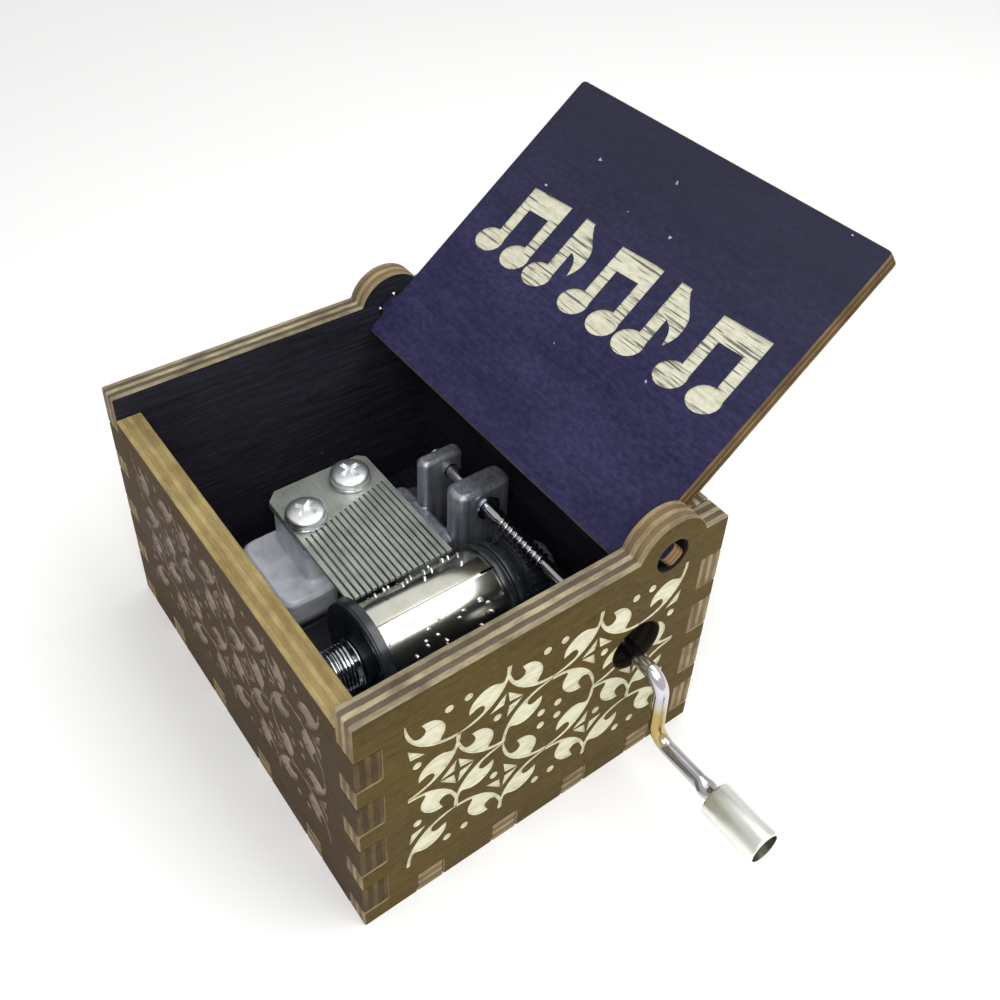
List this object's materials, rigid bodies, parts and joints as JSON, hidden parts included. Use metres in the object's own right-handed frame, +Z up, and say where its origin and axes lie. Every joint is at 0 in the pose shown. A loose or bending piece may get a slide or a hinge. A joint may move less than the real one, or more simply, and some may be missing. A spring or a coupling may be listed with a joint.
{
  "type": "hand crank music box",
  "caption": "Small plywood box with finger joints and a pintle-hinged lid, holding a comb and pinned barrel movement turned by a bent wire crank.",
  "frame": {"origin": "centre of the underside of the bottom panel, the face the box stands on", "axes": "+X towards the crank side, +Y towards the lid hinge at the back, +Z up"},
  "size_m": [0.0882, 0.0784, 0.0655],
  "materials": {
    "case_plywood": "dark stained, laser engraved",
    "lid_plywood": "dark stained, laser engraved",
    "zinc_casting": "bright die casting",
    "comb_steel": "ground",
    "bright_steel": "zinc plated",
    "tuning_lead": "dull",
    "barrel_metal": "nickel plated, polished",
    "black_plastic": "gloss",
    "crank_wire": "polished",
    "knob_metal": "satin nickel"
  },
  "bodies": {
    "case": {"right_side_panel": "case_plywood", "left_side_panel": "case_plywood", "front_panel": "case_plywood", "back_panel": "case_plywood", "bottom_panel": "case_plywood", "movement_frame": "zinc_casting", "comb": "comb_steel", "comb_lead_weight_1": "tuning_lead", "comb_lead_weight_2": "tuning_lead", "comb_lead_weight_3": "tuning_lead", "comb_lead_weight_4": "tuning_lead", "comb_screw_front": "bright_steel", "comb_screw_rear": "bright_steel", "comb_washer_front": "bright_steel", "comb_washer_rear": "bright_steel", "frame_screw_1": "bright_steel", "frame_screw_2": "bright_steel", "frame_screw_3": "bright_steel", "barrel_arbor": "bright_steel", "barrel_spring": "bright_steel", "spring_washer": "bright_steel"},
    "lid": {"lid_panel": "lid_plywood"},
    "crank": {"crank_shaft": "crank_wire", "shaft_collar_outer": "bright_steel", "shaft_collar_inner": "bright_steel"},
    "knob": {"crank_knob": "knob_metal"},
    "barrel": {"barrel_sleeve": "barrel_metal", "barrel_front_cap": "black_plastic", "barrel_gear": "black_plastic"}
  },
  "joints": [
    {"name": "lid_hinge", "type": "hinge", "parent": "case", "child": "lid", "pos_m": [0, 0.0173, 0.0373], "axis": [1, 0, 0], "range_deg": [0, 141.6]},
    {"name": "crank_turn", "type": "hinge", "parent": "case", "child": "crank", "pos_m": [0.02, 0.013, 0.0229], "axis": [1, 0, 0], "continuous": true},
    {"name": "knob_spin", "type": "hinge", "parent": "crank", "child": "knob", "pos_m": [0.052, 0.0136, 0.0118], "axis": [1, 0, 0], "continuous": true},
    {"name": "barrel_turn", "type": "hinge", "parent": "case", "child": "barrel", "pos_m": [0.0093, 0, 0.0162], "axis": [0, 1, 0], "continuous": true}
  ],
  "couplings": [
    {"joint": "barrel_turn", "follows": "crank_turn", "ratio": -0.029412}
  ]
}
